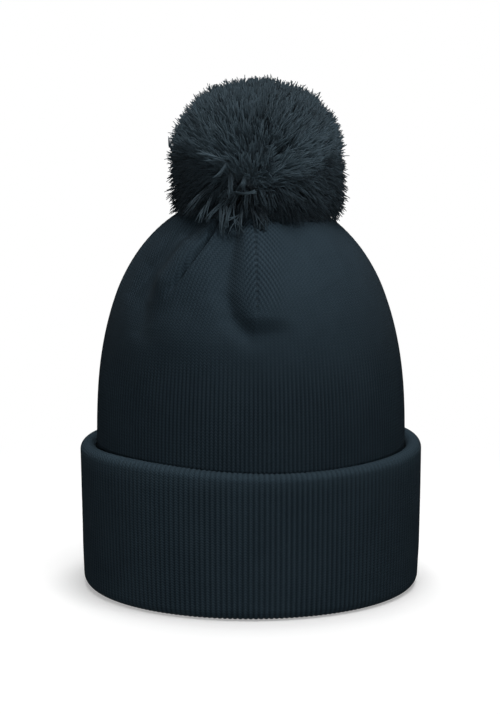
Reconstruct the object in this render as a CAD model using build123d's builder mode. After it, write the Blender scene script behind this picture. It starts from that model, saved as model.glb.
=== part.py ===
"""A cuffed double-layer knitted beanie with a yarn pom pom, in millimetres.

The hat stands on its bottom fold. +Z is up, +X is the wearer's left seen from the front, and the
front of the hat faces -Y. The origin is the middle of the surface that the hat stands on.
Every knitted layer is an oval ring or dome: a round one, stretched from side to side of the head.
"""

from build123d import *
import math
import os

# Driving dimensions
body_half_width = 81.7  # middle of the hat to the outside of the body, sideways
depth_ratio = 1.16  # how much deeper than wide the hat is
body_top = 207.0  # where the dome would close without its gathering hole
dome_start = 75.0  # the body is straight up to here, and domed above
dome_rise_power = 2.6  # how long the dome keeps upright before it rounds over
dome_width_power = 2.2  # how round the top of the dome is
knit_thickness = 2.0  # one layer of the body
layer_gap = 0.35  # air between neighbouring knitted layers
cuff_half_width = 90.4  # middle of the hat to the outside of the cuff, at its top
cuff_height = 76.0
cuff_taper = 1.9  # how much narrower the cuff is at its bottom fold
cuff_thickness = 2.2  # one layer of the cuff
cuff_clearance = 0.7  # between the body and the cuff round it
fold_height = 5.5  # the roll of doubled knit that the hat stands on
fold_land = 3.0  # width of the flat part of that roll
fold_turn = 4.0  # from the flat part out to the cuff's outside
fold_sink = 0.2  # the roll is made this much too deep, then cut off flat
gather_radius = 4.0  # the hole that the gathering thread leaves in the crown
thread_radius = 0.6
pom_half_width = 46.0
pom_top = 267.0
pom_lean = 3.5  # the pom sits this far to the side of the crown's middle
tie_radius = 1.6  # the pom's tie cord
label_width = 20.0
label_height = 28.0
label_thickness = 0.6
label_top = 116.0
label_stand_off = 3.4  # the label hangs this far from the lining
stitch_count = 5
stitch_width = 2.4
stitch_depth = 1.4
stitch_height = 1.2

# Derived sizes
lining_inset = knit_thickness + layer_gap
cavity_inset = lining_inset + knit_thickness
layer_bottom = fold_height + 0.5
pivot_height = body_top + 1.0  # the pom rocks and twists about this point of its tie
rock_room = 7.5  # between the dome and the pom's lower face, so that the pom can rock
pom_bottom = pivot_height + rock_room
pom_middle = 222.0  # the pom's widest height
pom_edge = 6.0  # how much of the pom's lower edge is turned in
channel_radius = 8.0  # the hollow in the yarn round its tie
channel_top_room = 2.0  # between the binding and the top of that hollow
neck_length = 20.0  # from the flexing point of the tie up to the binding
binding_bottom = pivot_height + neck_length
binding_height = 5.0
binding_radius = 5.0
binding_turns = 3
turn_overlap = 1.08  # each turn of the binding is this much thicker than its pitch, so they join
knot_radius = 5.5
knot_core = 0.8  # share of the knot's radius that its core fills
knot_loop = 0.62  # share of it from the middle to the middle of a loop
knot_cord = 0.34  # share of it that is the cord's own radius
knot_tilts = ((28, 0), (-30, 20))  # degrees about X and Y that the knot's two loops are tilted
tie_gap = 0.5  # between the two parts of the tie cord, at the point where it flexes
curve_points = 12
bit = 0.1  # gap that keeps pieces of one body from overlapping
seam_arc = 2.0  # degrees of the dome's circle that a dart seam covers
seam_height = 0.8
seam_start = 0.62  # share of the dome's curve below the dart seams
seam_end = 0.93  # share of the dome's curve at which they run into the gathers

os.makedirs("parts", exist_ok=True)


def dome_end(inset):
    """The angle at which the dome's curve reaches the gathering hole."""
    return math.acos((gather_radius / (body_half_width - inset)) ** (dome_width_power / 2))


def dome_point(angle, inset):
    """A point of the dome's curve, inset from the outside: (half width, height)."""
    half_width = (body_half_width - inset) * math.cos(angle) ** (2 / dome_width_power)
    rise = (body_top - inset - dome_start) * math.sin(angle) ** (2 / dome_rise_power)
    return (half_width, dome_start + rise)


def dome_curve(inset, start=0.0, end=1.0):
    """Points of the dome's curve between two shares of its way to the gathering hole."""
    whole = dome_end(inset)
    return [
        dome_point(whole * (start + (end - start) * step / curve_points), inset)
        for step in range(curve_points + 1)
    ]


def save(builder, name):
    """Labels a finished piece and writes it as its own STEP file."""
    builder.part.label = name
    export_step(builder.part, f"parts/{name}.step")


def knit_layer(name, inset):
    """One layer of the body: a straight oval tube below and a dome above, open at both ends."""
    with BuildPart() as layer:
        with BuildSketch(Plane.XZ):
            with BuildLine():
                outside = Spline(*dome_curve(inset))
                inside = Spline(*dome_curve(inset + knit_thickness))
                outer_foot = (body_half_width - inset, layer_bottom)
                inner_foot = (body_half_width - inset - knit_thickness, layer_bottom)
                Line(outer_foot, outside @ 0)
                Line(outside @ 1, inside @ 1)
                Line(inside @ 0, inner_foot)
                Line(inner_foot, outer_foot)
            make_face()
        revolve(axis=Axis.Z)
        scale(by=(1, depth_ratio, 1))
    save(layer, name)


def dart_strip(azimuth, inset):
    """The section of one crown dart's welt, on the upright plane at that azimuth from +X."""
    turn = math.radians(azimuth - seam_arc / 2)
    upright = Plane(
        origin=(0, 0, 0),
        x_dir=(math.cos(turn), math.sin(turn), 0),
        z_dir=(math.sin(turn), -math.cos(turn), 0),
    )
    with BuildSketch(upright) as strip:
        with BuildLine():
            outside = Spline(*dome_curve(inset - seam_height, seam_start, seam_end))
            inside = Spline(*dome_curve(inset, seam_start, seam_end))
            Line(outside @ 0, inside @ 0)
            Line(outside @ 1, inside @ 1)
        make_face()
    return strip.sketch


def gather_thread(name, height):
    """The ring of thread that draws a layer's crown closed."""
    with BuildPart() as ring:
        with BuildSketch(Plane.XZ):
            with Locations((gather_radius + thread_radius, height)):
                Circle(thread_radius)
        revolve(axis=Axis.Z)
        scale(by=(1, depth_ratio, 1))
    save(ring, name)


# The two layers of the body
knit_layer("outer_knit_layer", 0.0)
knit_layer("inner_knit_layer", lining_inset)

# The cuff's outer layer, with the hem that rolls over its top
hem_lip = 2.0  # how far the hem goes down again inside the cuff
hem_radius = (cuff_half_width - body_half_width - cuff_clearance) / 2
hem_middle = cuff_half_width - hem_radius
hem_height = cuff_height - hem_radius
hem_end = hem_height - hem_lip
cuff_foot = cuff_half_width - cuff_taper
with BuildPart() as cuff_outer_layer:
    with BuildSketch(Plane.XZ):
        with BuildLine():
            outer_wall = Line((cuff_foot, fold_height + bit), (cuff_half_width, hem_height))
            over = ThreePointArc(
                outer_wall @ 1, (hem_middle, cuff_height), (hem_middle - hem_radius, hem_height)
            )
            lip = Line(over @ 1, (hem_middle - hem_radius, hem_end))
            under = Line(lip @ 1, (hem_middle - hem_radius + cuff_thickness, hem_end))
            rise = Line(under @ 1, (hem_middle - hem_radius + cuff_thickness, hem_height))
            hollow = ThreePointArc(
                rise @ 1,
                (hem_middle, cuff_height - cuff_thickness),
                (cuff_half_width - cuff_thickness, hem_height),
            )
            inner_wall = Line(hollow @ 1, (cuff_foot - cuff_thickness, fold_height + bit))
            Line(inner_wall @ 1, outer_wall @ 0)
        make_face()
    revolve(axis=Axis.Z)
    scale(by=(1, depth_ratio, 1))
save(cuff_outer_layer, "cuff_outer_layer")

# The cuff's inner layer, a straight oval tube round the body
with BuildPart() as cuff_inner_layer:
    with BuildSketch(Plane.XZ):
        with BuildLine():
            Polyline(
                (body_half_width + cuff_clearance, fold_height + bit),
                (body_half_width + cuff_clearance + cuff_thickness, fold_height + bit),
                (body_half_width + cuff_clearance + cuff_thickness, hem_end - bit),
                (body_half_width + cuff_clearance, hem_end - bit),
                close=True,
            )
        make_face()
    revolve(axis=Axis.Z)
    scale(by=(1, depth_ratio, 1))
save(cuff_inner_layer, "cuff_inner_layer")

# The fold at the bottom, where the body's layers turn up into the cuff's layers
fold_inside = body_half_width - cavity_inset
land_outside = cuff_foot - fold_turn
land_inside = land_outside - fold_land
with BuildPart() as bottom_fold:
    with BuildSketch(Plane.XZ):
        with BuildLine():
            land = Line((land_inside, -fold_sink), (land_outside, -fold_sink))
            outer_turn = TangentArc(land @ 1, (cuff_foot, fold_height), tangent=(1, 0))
            top = Line(outer_turn @ 1, (fold_inside, fold_height))
            inner_turn = TangentArc(land @ 0, (fold_inside, fold_height), tangent=(-1, 0))
        make_face()
    revolve(axis=Axis.Z)
    scale(by=(1, depth_ratio, 1))
    split(bisect_by=Plane.XY, keep=Keep.TOP)
save(bottom_fold, "bottom_fold")

# Four crown darts on the outside, one node each, and the lining's four in one node
seam_places = {"front": -90, "right": 0, "back": 90, "left": 180}
for side, azimuth in seam_places.items():
    with BuildPart() as dart_seam:
        add(dart_strip(azimuth, -bit))
        revolve(axis=Axis.Z, revolution_arc=seam_arc)
        scale(by=(1, depth_ratio, 1))
    save(dart_seam, f"dart_seam_{side}")

with BuildPart() as lining_dart_seams:
    for azimuth in seam_places.values():
        add(dart_strip(azimuth, cavity_inset + seam_height + bit))
    revolve(axis=Axis.Z, revolution_arc=seam_arc)
    scale(by=(1, depth_ratio, 1))
save(lining_dart_seams, "lining_dart_seams")

# Gathering threads round the crown's hole, on the outside and under the lining
gather_thread("crown_gather_thread", body_top + thread_radius + bit)
lining_top = body_top - cavity_inset
gather_thread("lining_gather_thread", lining_top - 2 * thread_radius)

# The knot under the lining that stops the tie cord from pulling out, with the cord's lower end
knot_height = lining_top - 3 * thread_radius - 2 * bit - knot_radius
with BuildPart() as tie_anchor_knot:
    with Locations((0, 0, knot_height)):
        Sphere(knot_radius * knot_core)
        for tilt_x, tilt_y in knot_tilts:
            Torus(knot_radius * knot_loop, knot_radius * knot_cord, rotation=(tilt_x, tilt_y, 0))
    with BuildSketch(Plane.XY.offset(knot_height)):
        Circle(tie_radius)
    extrude(amount=pivot_height - tie_radius - tie_gap - knot_height)
save(tie_anchor_knot, "tie_anchor_knot")

# The tie cord's neck, from the point where it flexes up into the yarn
neck_top = binding_bottom - channel_top_room
with BuildPart() as pom_tie:
    with BuildSketch(Plane.XZ):
        with BuildLine():
            foot = ThreePointArc(
                (0, pivot_height - tie_radius),
                (tie_radius * math.sqrt(0.5), pivot_height - tie_radius * math.sqrt(0.5)),
                (tie_radius, pivot_height),
            )
            side = Line(foot @ 1, (tie_radius, neck_top))
            Line(side @ 1, (0, neck_top))
            Line((0, neck_top), foot @ 0)
        make_face()
    revolve(axis=Axis.Z)
save(pom_tie, "pom_tie")

# The cord's turns round the waist of the yarn
turn_radius = binding_height / binding_turns / 2
with BuildPart() as pom_binding:
    with BuildSketch(Plane.XZ):
        for turn in range(binding_turns):
            with Locations((binding_radius, binding_bottom + turn_radius * (2 * turn + 1))):
                Circle(turn_radius * turn_overlap)
    revolve(axis=Axis.Z)
save(pom_binding, "pom_binding")

# The ball of cut yarn, hollow round its tie and binding
pom_side = pom_lean + pom_half_width
channel_top = binding_bottom + binding_height + channel_top_room
with BuildPart() as pom_yarn:
    with BuildSketch(Plane.XZ):
        with BuildLine():
            dome = Spline(
                *[
                    (
                        pom_lean + pom_half_width * math.cos(math.radians(angle)),
                        pom_middle + (pom_top - pom_middle) * math.sin(math.radians(angle)),
                    )
                    for angle in range(0, 91, 15)
                ],
                tangents=((0, 1), (-1, 0)),
            )
            edge = Line(dome @ 0, (pom_side - pom_edge / 6, pom_bottom + pom_edge / 2))
            turn_in = Line(edge @ 1, (pom_side - pom_edge, pom_bottom))
            base = Line(turn_in @ 1, (pom_lean, pom_bottom))
            Line(base @ 1, dome @ 1)
        make_face()
    revolve(axis=Axis((pom_lean, 0, 0), (0, 0, 1)))
    with BuildSketch(Plane.XY.offset(pom_bottom)):
        Circle(channel_radius)
    extrude(amount=channel_top - pom_bottom, mode=Mode.SUBTRACT)
save(pom_yarn, "pom_yarn")

# The blank care label, sewn along its top edge to the lining at the back
label_face = fold_inside * depth_ratio - label_stand_off
with BuildPart() as care_label:
    with BuildSketch(Plane.XY.offset(label_top - label_height)):
        with Locations((0, label_face - label_thickness / 2)):
            Rectangle(label_width, label_thickness)
    extrude(amount=label_height)
save(care_label, "care_label")

# The row of stitches along the label's top edge
with BuildPart() as label_stitches:
    with BuildSketch(Plane.XY.offset(label_top + bit)):
        with Locations((0, label_face - label_thickness / 2)):
            with GridLocations(label_width / stitch_count, 1, stitch_count, 1):
                Rectangle(stitch_width, stitch_depth)
    extrude(amount=stitch_height)
save(label_stitches, "label_stitches")
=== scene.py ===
"""The looks of the pom pom beanie: ribbed knit, rolled cuff, folded crown and a ball of cut yarn.

Everything is in metres in the CAD frame: +Z up, the front faces -Y, and the hat stands at z = 0.
Round the hat, an angle of 0 points along +X and -90 degrees is the front.
"""

import math

import bpy
import numpy as np
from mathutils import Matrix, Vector


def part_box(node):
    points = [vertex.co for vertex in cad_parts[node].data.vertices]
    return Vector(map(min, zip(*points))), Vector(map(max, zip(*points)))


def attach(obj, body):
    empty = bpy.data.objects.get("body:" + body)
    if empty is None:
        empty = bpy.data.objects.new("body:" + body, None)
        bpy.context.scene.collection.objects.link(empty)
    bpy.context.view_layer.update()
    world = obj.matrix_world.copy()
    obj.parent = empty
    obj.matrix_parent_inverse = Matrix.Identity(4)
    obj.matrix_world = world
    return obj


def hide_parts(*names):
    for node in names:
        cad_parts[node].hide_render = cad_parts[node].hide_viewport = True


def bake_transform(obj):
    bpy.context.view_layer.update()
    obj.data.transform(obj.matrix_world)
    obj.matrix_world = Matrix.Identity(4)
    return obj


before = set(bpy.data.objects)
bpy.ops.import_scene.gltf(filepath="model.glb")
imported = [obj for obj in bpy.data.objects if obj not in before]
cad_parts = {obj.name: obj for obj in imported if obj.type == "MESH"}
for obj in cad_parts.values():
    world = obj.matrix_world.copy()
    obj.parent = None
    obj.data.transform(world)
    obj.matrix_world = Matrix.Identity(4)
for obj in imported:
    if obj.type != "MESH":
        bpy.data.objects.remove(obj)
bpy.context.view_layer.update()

MM = 0.001
FRONT = -math.pi / 2
TURN = 2 * math.pi

# Sizes of the hat, from the CAD nodes
body_low, body_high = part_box("outer_knit_layer")
lining_low, lining_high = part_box("inner_knit_layer")
cuff_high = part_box("cuff_outer_layer")[1]
fold_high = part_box("bottom_fold")[1]
inner_low, inner_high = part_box("cuff_inner_layer")
pom_low, pom_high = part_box("pom_yarn")
BODY_W = body_high.x
DEPTH = body_high.y / body_high.x
BODY_TOP = body_high.z
CUFF_W = cuff_high.x
CUFF_TOP = cuff_high.z
LAYER = 2.0 * MM

# The dome's curve, as in the CAD
DOME_START = 75 * MM
RISE_POWER = 2.6
WIDTH_POWER = 2.2

# The knit
BODY_RIBS = 228
CUFF_RIBS = 204
BODY_ROW = 1.56 * MM
CUFF_ROW = 1.38 * MM
SAMPLES = 6  # mesh columns in one rib


# ---- mesh helpers

def grid_mesh(name, points, closed_rows=False, uvs=None):
    """A mesh from points[row, column], closed round the columns, and round the rows if asked."""
    grid = np.arange(points.shape[0] * points.shape[1]).reshape(points.shape[:2])
    beside = np.roll(grid, -1, axis=1)
    faces = np.stack([grid, beside, np.roll(beside, -1, axis=0), np.roll(grid, -1, axis=0)], axis=-1)
    faces = faces if closed_rows else faces[:-1]
    return face_mesh(name, points.reshape(-1, 3), faces.reshape(-1, 4), uvs)


def face_mesh(name, points, faces, uvs=None):
    """A smooth-shaded mesh from points and faces of one size, with the knit's coordinates on it."""
    mesh = bpy.data.meshes.new(name)
    sides = faces.shape[1]
    mesh.vertices.add(len(points))
    mesh.vertices.foreach_set("co", np.ascontiguousarray(points, np.float32).ravel())
    mesh.loops.add(faces.size)
    mesh.loops.foreach_set("vertex_index", faces.astype(np.int32).ravel())
    mesh.polygons.add(len(faces))
    mesh.polygons.foreach_set("loop_start", np.arange(0, faces.size, sides, dtype=np.int32))
    mesh.polygons.foreach_set("use_smooth", np.ones(len(faces), bool))
    mesh.update(calc_edges=True)
    if uvs is not None:
        layer = mesh.uv_layers.new(name="knit")
        layer.data.foreach_set("uv", np.ascontiguousarray(uvs, np.float32).ravel())
    piece = bpy.data.objects.new(name, mesh)
    bpy.context.scene.collection.objects.link(piece)
    return piece


def finish_piece(piece, body, slot, material, *nodes):
    """Gives a piece its material and its body if it rides on one, and hides the CAD nodes that it stands for.
    """
    piece.data.materials.append(material)
    if body:
        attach(piece, body)
    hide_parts(*nodes)
    return piece


def smooth(low, high, x):
    """0 below low, 1 above high, and an even curve between."""
    t = np.clip((x - low) / (high - low), 0, 1)
    return t * t * (3 - 2 * t)


def unit(vectors):
    """The vectors' directions."""
    return vectors / np.linalg.norm(vectors, axis=-1, keepdims=True)


WAVES = 7  # summed into the hat's slow unevenness


def wave_noise(angle, height, seed):
    """Slow, smooth unevenness over the hat, about -1 to 1."""
    draw = np.random.default_rng(seed)
    total = np.zeros(np.broadcast(angle, height).shape)
    for _ in range(WAVES):
        turns = int(draw.integers(1, 9))
        rate = draw.uniform(10, 60)
        total += draw.uniform(0.4, 1) * np.sin(turns * angle + rate * height + draw.uniform(0, TURN))
    return total / WAVES * 1.4


# ---- the dome's curve

def dome_profile(inset, bottom, step, stop_width):
    """The side of the body from bottom to its gathering hole: half widths, heights and lengths."""
    width = BODY_W - inset
    top = BODY_TOP - inset
    u = np.linspace(0, math.acos((stop_width / width) ** (WIDTH_POWER / 2)), 2000)
    dome_w = width * np.cos(u) ** (2 / WIDTH_POWER)
    dome_z = DOME_START + (top - DOME_START) * np.sin(u) ** (2 / RISE_POWER)
    w = np.concatenate([[width], dome_w])
    z = np.concatenate([[bottom], dome_z])
    along = np.concatenate([[0], np.cumsum(np.hypot(np.diff(w), np.diff(z)))])
    count = int(along[-1] / step) + 1
    s = np.linspace(0, along[-1], count)
    return np.interp(s, along, w), np.interp(s, along, z), s


def oval_points(w, z, angle, push):
    """Points of an oval ring or dome, pushed outwards along its normal. w and z are one per row."""
    cos, sin = np.cos(angle), np.sin(angle)
    rise, spread = np.gradient(z)[:, None], np.gradient(w)[:, None]
    w, z = w[:, None], z[:, None]
    normal = np.stack([rise * cos, rise * sin / DEPTH, -spread + 0 * cos], axis=-1)
    points = np.stack([w * cos, DEPTH * w * sin, z + 0 * cos], axis=-1)
    return points + unit(normal) * push[..., None]


# ---- crown folds

def distance_to_path(x, z, path):
    """Distance of each point from a path of (across, height) points, and the share along it."""
    best = np.full(x.shape, 1e9)
    share = np.zeros(x.shape)
    lengths = [math.dist(a, b) for a, b in zip(path, path[1:])]
    done = 0.0
    for (ax, az), (bx, bz), length in zip(path, path[1:], lengths):
        dx, dz = bx - ax, bz - az
        t = np.clip(((x - ax) * dx + (z - az) * dz) / length**2, 0, 1)
        away = np.hypot(x - ax - t * dx, z - az - t * dz)
        near = away < best
        best = np.where(near, away, best)
        share = np.where(near, (done + t * length) / sum(lengths), share)
        done += length
    return best, share


# The lines of the two deep valleys at the front, as (across, height) in mm
BULGE_VALLEY = [(-6, 204), (-10, 190), (-12.5, 177), (-14, 164), (-10, 152), (0, 142), (14, 141)]
LEFT_VALLEY = [(-22, 204), (-33, 193), (-43, 182), (-52, 172), (-57.5, 158), (-57, 143), (-49, 131)]

# Each fold: its line, its half width and its height in mm (a valley is negative), and the shares of
# its length over which it fades in at the start and out at the end
FRONT_FOLDS = [
    (BULGE_VALLEY, 5.2, -3.5, 0.02, 0.3),
    (LEFT_VALLEY, 5.5, -4.6, 0.05, 0.45),
    ([(-16, 200), (-22, 188), (-29, 176), (-31, 164), (-29, 152)], 9.0, 2.0, 0.1, 0.5),
    ([(-29, 192), (-37, 179), (-45, 166), (-48, 152)], 6.5, 3.2, 0.2, 0.4),
    ([(-52, 150), (-38, 142), (-18, 138), (4, 137), (22, 141)], 12.0, 1.3, 0.25, 0.3),
    ([(28, 200), (42, 186), (52, 170), (56, 158)], 18.0, 1.5, 0.2, 0.5),
    ([(17, 204), (21, 192), (24, 178)], 4.5, -1.6, 0.02, 0.6),
    ([(34, 202), (46, 190), (55, 176)], 5.0, -1.1, 0.05, 0.5),
]
BACK_FOLDS = [
    ([(12, 204), (15, 190), (18, 175), (15, 161), (4, 150)], 5.0, -3.8, 0.02, 0.4),
    ([(-22, 202), (-33, 188), (-43, 172), (-48, 152)], 5.5, -3.4, 0.1, 0.45),
    ([(-2, 202), (-4, 184), (-7, 166)], 10.0, 2.4, 0.1, 0.4),
    ([(36, 198), (49, 181), (57, 160)], 6.0, -2.6, 0.1, 0.5),
    ([(24, 198), (33, 182), (38, 164)], 10.0, 1.8, 0.2, 0.5),
]
# The sharp crease in the left folds, as (across, height) in mm
CREASE = [(-16, 199), (-20.5, 190), (-25.2, 183), (-33, 173), (-42, 161), (-44.5, 157)]
CREASE_DEPTH = 4.0 * MM
CREASE_HALF_WIDTH = 1.0  # mm

# The front dart stands out as a rounded bulge that ends in a blunt nose
BULGE_HEIGHT = 4.1 * MM
BULGE_START = 0.4  # the share of that height at the bulge's top
BULGE_TOP = (1.5, 200)  # (across, height) in mm
BULGE_NOSE = (6.5, 152)
BULGE_HALF_WIDTHS = (10.0, 18.0)  # mm, at the top and at the nose
BULGE_END = 9.0  # mm over which the nose rounds off
FACING_FADE = 0.035  # metres over which the folds of one half begin


def dart_bulge(x, z):
    """The front dart's bulge: how proud it stands at each (across, height) in mm."""
    (top_x, top_z), (nose_x, nose_z) = BULGE_TOP, BULGE_NOSE
    down = np.clip((top_z - z) / (top_z - nose_z), 0, 1.2)
    middle = top_x + (nose_x - top_x) * down
    narrow, wide = BULGE_HALF_WIDTHS
    across = np.clip(np.abs(x - middle) / (narrow + (wide - narrow) * down), 0, 1)
    nose = smooth(nose_z - BULGE_END, nose_z, z)
    return BULGE_HEIGHT * (BULGE_START + (1 - BULGE_START) * down) * (1 - across**2) ** 2 * nose


def folds(points, front):
    """How far the crown's folds push the knit out at each point, on the front or back half."""
    x, y, z = points[..., 0] / MM, points[..., 1], points[..., 2] / MM
    facing = smooth(0.0, FACING_FADE, -y if front else y)
    push = np.zeros(x.shape)
    for path, half_width, depth, fade_in, fade_out in FRONT_FOLDS if front else BACK_FOLDS:
        away, share = distance_to_path(x, z, path)
        ends = smooth(0, fade_in, share) * (1 - smooth(1 - fade_out, 1, share))
        push += depth * MM * np.exp(-((away / half_width) ** 2)) * ends
    if front:
        away, share = distance_to_path(x, z, CREASE)
        ends = smooth(0, 0.05, share) * (1 - smooth(0.6, 1, share))
        push -= CREASE_DEPTH * np.exp(-((away / CREASE_HALF_WIDTH) ** 2)) * ends
        push += dart_bulge(x, z)
    return push * facing


# ---- ribs

SEAM_TURN = math.radians(2.5)  # the darts stand this far round from the hat's axes
PANELS = 4  # between the crown's darts
DART_BOTTOM = 146 * MM
DART_PULL = 6.5 * MM  # how much more knit runs into a dart than the dome's narrowing takes up
DART_REACH = 22 * MM  # how far from the dart that shows
RIB_HEIGHT = 0.62 * MM
RIB_LEVEL = 0.6  # the part of a rib's height that is at the layer's own surface
STITCH_RELIEF = 0.05 * MM  # how much the stitch rows stand out along a rib's sides
FURROW_DEPTH = 0.55 * MM  # along the darts
UNEVENNESS = 0.2 * MM
FAINT_RIBS = 0.1  # how clear the crown's ribs are where they show least
CHEVRON_RIGHT = 13.0  # mm that the clear ribs beside a dart reach to its right, and to its left
CHEVRON_LEFT = 6.0
GATHER_END = 4.2 * MM  # half width at which a layer's knit ends in its gathers
GATHER_DEPTH = 1.3 * MM
PLEATS = 36  # round the gathered opening
HIDDEN_ROWS = 110  # mesh rows on the face of a layer that never shows


def dome_width_by_height():
    """The dome's heights and half widths, in order of height."""
    w, z, _ = dome_profile(0, 0, 1 * MM, 4 * MM)
    return z, w


def panel_ribs(angle, panel, w, z):
    """The rib coordinate inside one crown panel: it keeps its pitch as the panel narrows at its darts."""
    start_w = float(np.interp(DART_BOTTOM, *dome_width_by_height()))
    keep = np.minimum(1, w / start_w)
    pitch = TURN / BODY_RIBS
    middle = FRONT + SEAM_TURN + (panel + 0.5) * TURN / PANELS
    offset = (angle - middle + math.pi) % TURN - math.pi
    ribs = offset / pitch * keep
    from_seam = (TURN / PANELS / 2 - np.abs(offset)) * w
    pull = DART_PULL * smooth(DART_BOTTOM, DART_BOTTOM + 40 * MM, z) * np.exp(-np.abs(from_seam) / DART_REACH)
    return ribs - np.sign(offset) * pull / (start_w * pitch)


def rib_shape(phase):
    """A rounded rib with a narrow furrow on each side, from 0 in the furrow to 1 on top."""
    return np.abs(np.cos(math.pi * phase)) ** 0.8


def stitch_rows(along, row, phase):
    """The rows of stitches, which show on the sides of each rib."""
    return STITCH_RELIEF * np.cos(TURN * along / row)[:, None] * np.abs(np.sin(math.pi * phase))


def body_surface(inset, w, z, angle, outside):
    """How far the middle of the knit stands out of the plain dome: folds, gathers and unevenness."""
    plain = oval_points(w, z, angle, np.zeros((len(w), angle.shape[1])))
    gathers = GATHER_DEPTH * np.cos(PLEATS * angle) * smooth(24, 6, w / MM)[:, None]
    push = gathers + UNEVENNESS * wave_noise(angle, z[:, None], 11)
    creases = folds(plain, True) + folds(plain, False)
    return push + (creases if outside else np.minimum(creases, 0))


def seam_offset(angle, w):
    """How far each point is to the right of the nearest dart, in mm, and negative to its left."""
    place = (angle - FRONT - SEAM_TURN + TURN / PANELS / 2) % (TURN / PANELS) - TURN / PANELS / 2
    return place * w[:, None] / MM


def rib_clearness(x_mm, z_mm, from_seam):
    """Ribs are clearest low on the body, beside the darts and in the left folds, and fine elsewhere."""
    low = 1 - smooth(105, 142, z_mm)
    reach = np.where(from_seam > 0, CHEVRON_RIGHT, CHEVRON_LEFT)
    beside_dart = smooth(150, 162, z_mm) * (1 - smooth(0.7, 1.3, np.abs(from_seam) / reach))
    left_folds = 0.4 * smooth(140, 155, z_mm) * smooth(-10, -25, x_mm)
    return FAINT_RIBS + (1 - FAINT_RIBS) * np.clip(low + 0.9 * beside_dart + left_folds, 0, 1)


def corner_uvs(left, right, v_row):
    """The knit's coordinates at each face corner of a grid that is closed both ways."""
    up = (np.arange(len(v_row)) + 1) % len(v_row)
    v = v_row[:, None] + 0 * left
    corners = [(left, v), (right, v), (right[up], v[up]), (left[up], v[up])]
    return np.stack([np.stack(pair, -1) for pair in corners], axis=2)


def mark_points(piece, name, values):
    """Notes a value on the mesh at each point, for the knit material to shade by.

    clearness is how clear the ribs are, in their relief and in the painted shade of their furrows. The rim's
    value is a painted highlight: how much lighter the knit is painted along the top of the cuff's rim, where
    it catches the light from above.
    """
    layer = piece.data.attributes.new(name, "FLOAT", "POINT")
    layer.data.foreach_set("value", np.ascontiguousarray(values, np.float32).ravel())
    return piece


def knit_body(name, inset, outside, row_step, samples):
    """One knitted layer of the body, with its good face outside or inside."""
    columns = BODY_RIBS * samples
    column = np.arange(columns)
    angle = (FRONT + SEAM_TURN + (column / columns) * TURN)[None, :]
    panel = ((column * PANELS) // columns)[None, :]
    face_inset = inset if outside else inset + LAYER
    w, z, s = dome_profile(face_inset, body_low.z, row_step, GATHER_END)
    phase = panel_ribs(angle, panel, w[:, None], z[:, None])
    from_seam = seam_offset(angle, w)
    z_mm = z[:, None] / MM
    x_mm = w[:, None] * np.cos(angle) / MM
    clearness = rib_clearness(x_mm, z_mm, from_seam)
    ribs = (rib_shape(phase) - RIB_LEVEL) * clearness * RIB_HEIGHT
    furrow = -FURROW_DEPTH * np.exp(-((from_seam / 0.8) ** 2)) * smooth(146, 158, z_mm)
    relief = ribs + furrow + stitch_rows(s, BODY_ROW, phase)
    surface = body_surface(inset, w, z, angle, outside)
    face = oval_points(w, z, angle, surface + relief - 0.1 * MM if outside else surface - relief)
    back_w, back_z, _ = dome_profile(inset + LAYER if outside else inset, body_low.z, 1 * MM, GATHER_END)
    pick = np.linspace(0, len(back_w) - 1, HIDDEN_ROWS).astype(int)
    back_w, back_z = back_w[pick], back_z[pick]
    back_push = np.minimum(body_surface(inset, back_w, back_z, angle, outside), 0)
    back = oval_points(back_w, back_z, angle, back_push)
    points = np.concatenate([face, back[::-1]])
    v_row = np.concatenate([s, np.linspace(s[-1], 0, HIDDEN_ROWS)]) / BODY_ROW
    w_row = np.concatenate([w, back_w[::-1]])
    z_row = np.concatenate([z, back_z[::-1]])
    if not outside:
        points, v_row, w_row, z_row = points[::-1], v_row[::-1], w_row[::-1], z_row[::-1]
    left = panel_ribs(angle, panel, w_row[:, None], z_row[:, None])
    right = panel_ribs(angle + TURN / columns, panel, w_row[:, None], z_row[:, None])
    clear_rows = np.concatenate([clearness, np.zeros((HIDDEN_ROWS, columns))])
    piece = grid_mesh(name, points, closed_rows=True, uvs=corner_uvs(left, right, v_row))
    return mark_points(piece, "clearness", clear_rows if outside else clear_rows[::-1])


# ---- rings of the cuff

def resample(path, step):
    """Evenly spaced points along a path of (half width, height) points, with the lengths so far."""
    path = np.array(path, float)
    along = np.concatenate([[0], np.cumsum(np.hypot(*np.diff(path, axis=0).T))])
    count = max(2, int(round(along[-1] / step)) + 1)
    s = np.linspace(0, along[-1], count)
    return np.interp(s, along, path[:, 0]), np.interp(s, along, path[:, 1]), s


def arc(centre, radius_w, radius_z, start, end, count=16):
    """Points of a part of an ellipse, from start to end in degrees. 0 points outwards, 90 up."""
    turns = np.radians(np.linspace(start, end, count))
    return [(centre[0] + radius_w * math.cos(t), centre[1] + radius_z * math.sin(t)) for t in turns]


CUFF_UNEVENNESS = 0.35 * MM
RIM_PAINTED_HIGHLIGHT = 0.25  # painted highlight: how much lighter the knit is painted along the cuff's rim, where it catches the light from above
RIM_FADE = (CUFF_TOP - 13 * MM, CUFF_TOP - 1 * MM)  # the heights over which it does


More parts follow.
